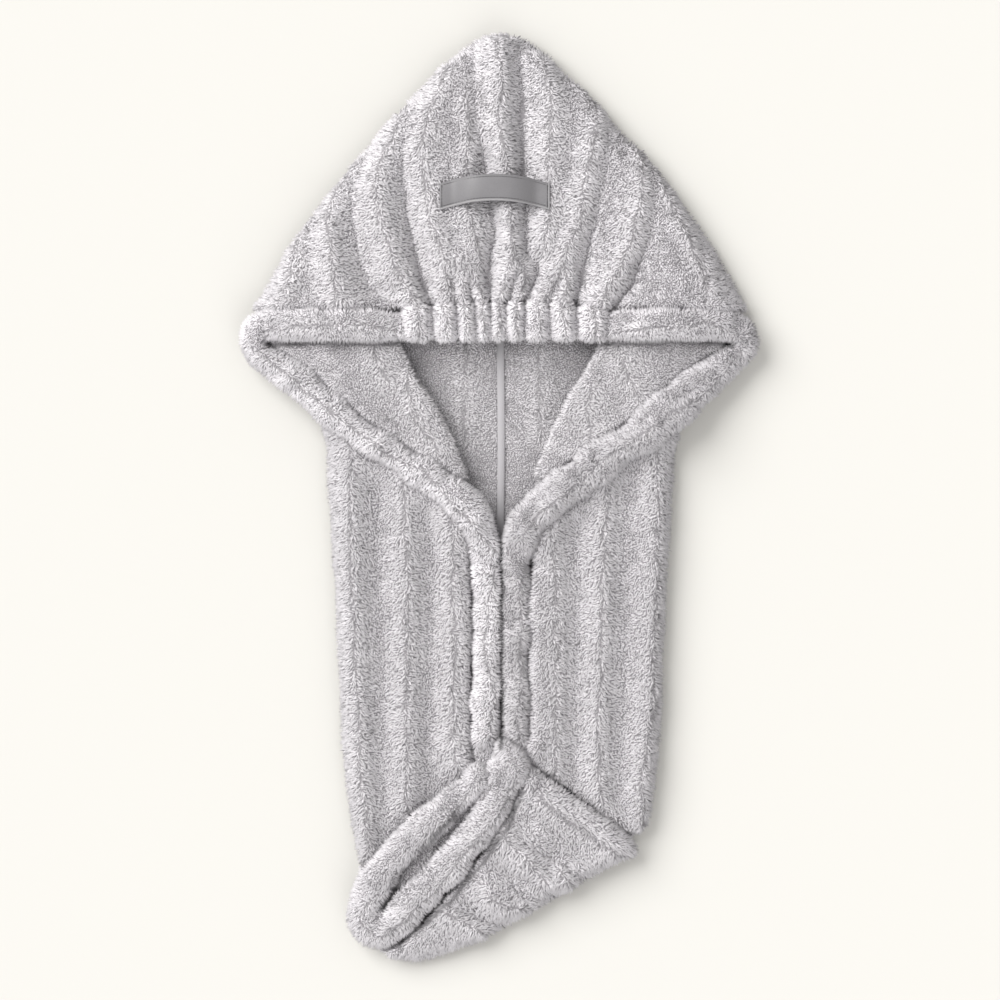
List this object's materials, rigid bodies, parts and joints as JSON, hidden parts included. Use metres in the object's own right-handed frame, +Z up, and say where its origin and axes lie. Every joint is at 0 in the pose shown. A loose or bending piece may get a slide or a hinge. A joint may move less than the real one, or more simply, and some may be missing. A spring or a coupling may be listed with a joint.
{
  "type": "hair turban towel",
  "caption": "Ribbed plush hair-drying turban laid flat: pointed hood with gathered nape, rolled V-shaped rim, folded tail and a leather strap.",
  "frame": {"origin": "middle of the footprint, on the surface that the towel lies on", "axes": "+Y from the folded tail to the crown's apex, +X to the right seen from above with the apex away, +Z up"},
  "size_m": [0.3254, 0.594, 0.0379],
  "materials": {
    "rib_plush": "matt plush pile in wide ribs",
    "inside_plush": "matt short plush, inner side of the cloth",
    "binding_tape": "matt woven tape",
    "strap_leather": "satin synthetic leather"
  },
  "bodies": {
    "root": {"back_panel": "inside_plush", "crown_panel": "rib_plush", "nape_casing": "rib_plush", "left_rim_hem": "rib_plush", "right_rim_hem": "rib_plush", "left_front_panel": "rib_plush", "right_front_panel": "rib_plush", "left_lapel": "inside_plush", "right_lapel": "inside_plush", "tail_hem": "rib_plush", "tail_flap": "rib_plush", "tail_inner_ply": "inside_plush", "seam_binding": "binding_tape", "crown_strap": "strap_leather"}
  },
  "joints": []
}
